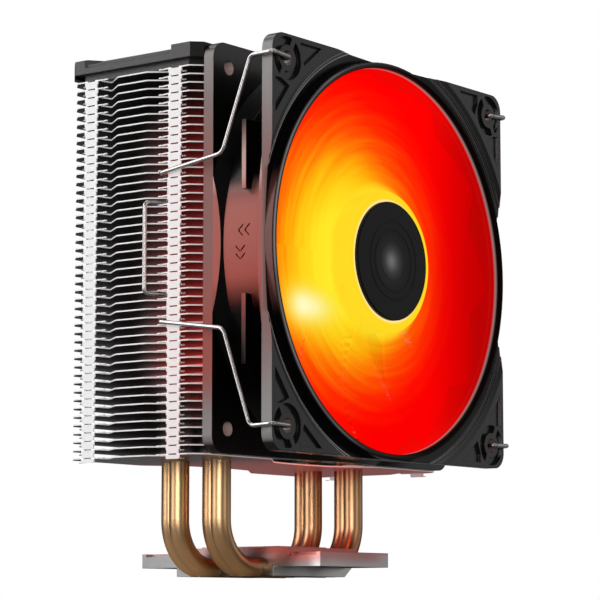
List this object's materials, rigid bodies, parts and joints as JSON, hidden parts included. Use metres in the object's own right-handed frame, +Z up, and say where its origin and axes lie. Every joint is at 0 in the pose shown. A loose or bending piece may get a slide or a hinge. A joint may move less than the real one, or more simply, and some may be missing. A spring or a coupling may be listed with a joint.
{
  "type": "cpu tower cooler",
  "caption": "Tower heatsink with a fin stack on U-shaped heat pipes, a flat contact base, a top frame and an axial fan held on the front by two wire clips.",
  "frame": {"origin": "on the base's flat contact face, midway between the pipes' legs", "axes": "+Z up along the tower, -Y towards the fan's intake side, +Y the airflow, X across the tower"},
  "size_m": [0.1302, 0.0855, 0.1534],
  "materials": {
    "base_alu": "milled",
    "plate_alu": "brushed",
    "pipe_copper": "drawn",
    "fin_alu": "mill sheet",
    "cover_black": "satin",
    "frame_black": "semi gloss",
    "blade_clear": "translucent",
    "cap_black": "turned",
    "steel": "bare",
    "magnet": "bonded",
    "bronze": "sintered",
    "insulator": "moulded",
    "copper_wire": "enamelled",
    "board": "lacquered",
    "led": "lens",
    "label": "blank",
    "cable_black": "sleeve",
    "plug_black": "moulded",
    "clip_steel": "bright spring wire"
  },
  "bodies": {
    "heatsink": {"base_block": "base_alu", "clamp_plate": "plate_alu", "heat_pipe_1": "pipe_copper", "heat_pipe_2": "pipe_copper", "heat_pipe_3": "pipe_copper", "heat_pipe_4": "pipe_copper", "cooling_fins": "fin_alu", "top_cover": "cover_black", "fan_frame": "frame_black", "bearing_sleeve": "bronze", "stator_core": "steel", "coil_bobbin": "insulator", "stator_coils": "copper_wire", "motor_board": "board", "leds": "led", "rear_label": "label", "fan_cable": "cable_black", "cable_plug": "plug_black"},
    "rotor": {"impeller": "blade_clear", "hub_cap": "cap_black", "rotor_yoke": "steel", "rotor_magnet": "magnet", "shaft": "steel", "retaining_ring": "insulator"},
    "left_clip": {"clip_left": "clip_steel"},
    "right_clip": {"clip_right": "clip_steel"}
  },
  "joints": [
    {"name": "rotor_spin", "type": "hinge", "parent": "heatsink", "child": "rotor", "pos_m": [0, -0.0368, 0.0937], "axis": [0, 1, 0], "continuous": true},
    {"name": "clip_left_swing", "type": "hinge", "parent": "heatsink", "child": "left_clip", "pos_m": [-0.0581, -0.0101, 0.0937], "axis": [0, 0, -1], "range_deg": [0, 24], "deforming": ["clip_left"]},
    {"name": "clip_right_swing", "type": "hinge", "parent": "heatsink", "child": "right_clip", "pos_m": [0.0581, -0.0101, 0.0937], "axis": [0, 0, 1], "range_deg": [0, 24], "deforming": ["clip_right"]}
  ]
}
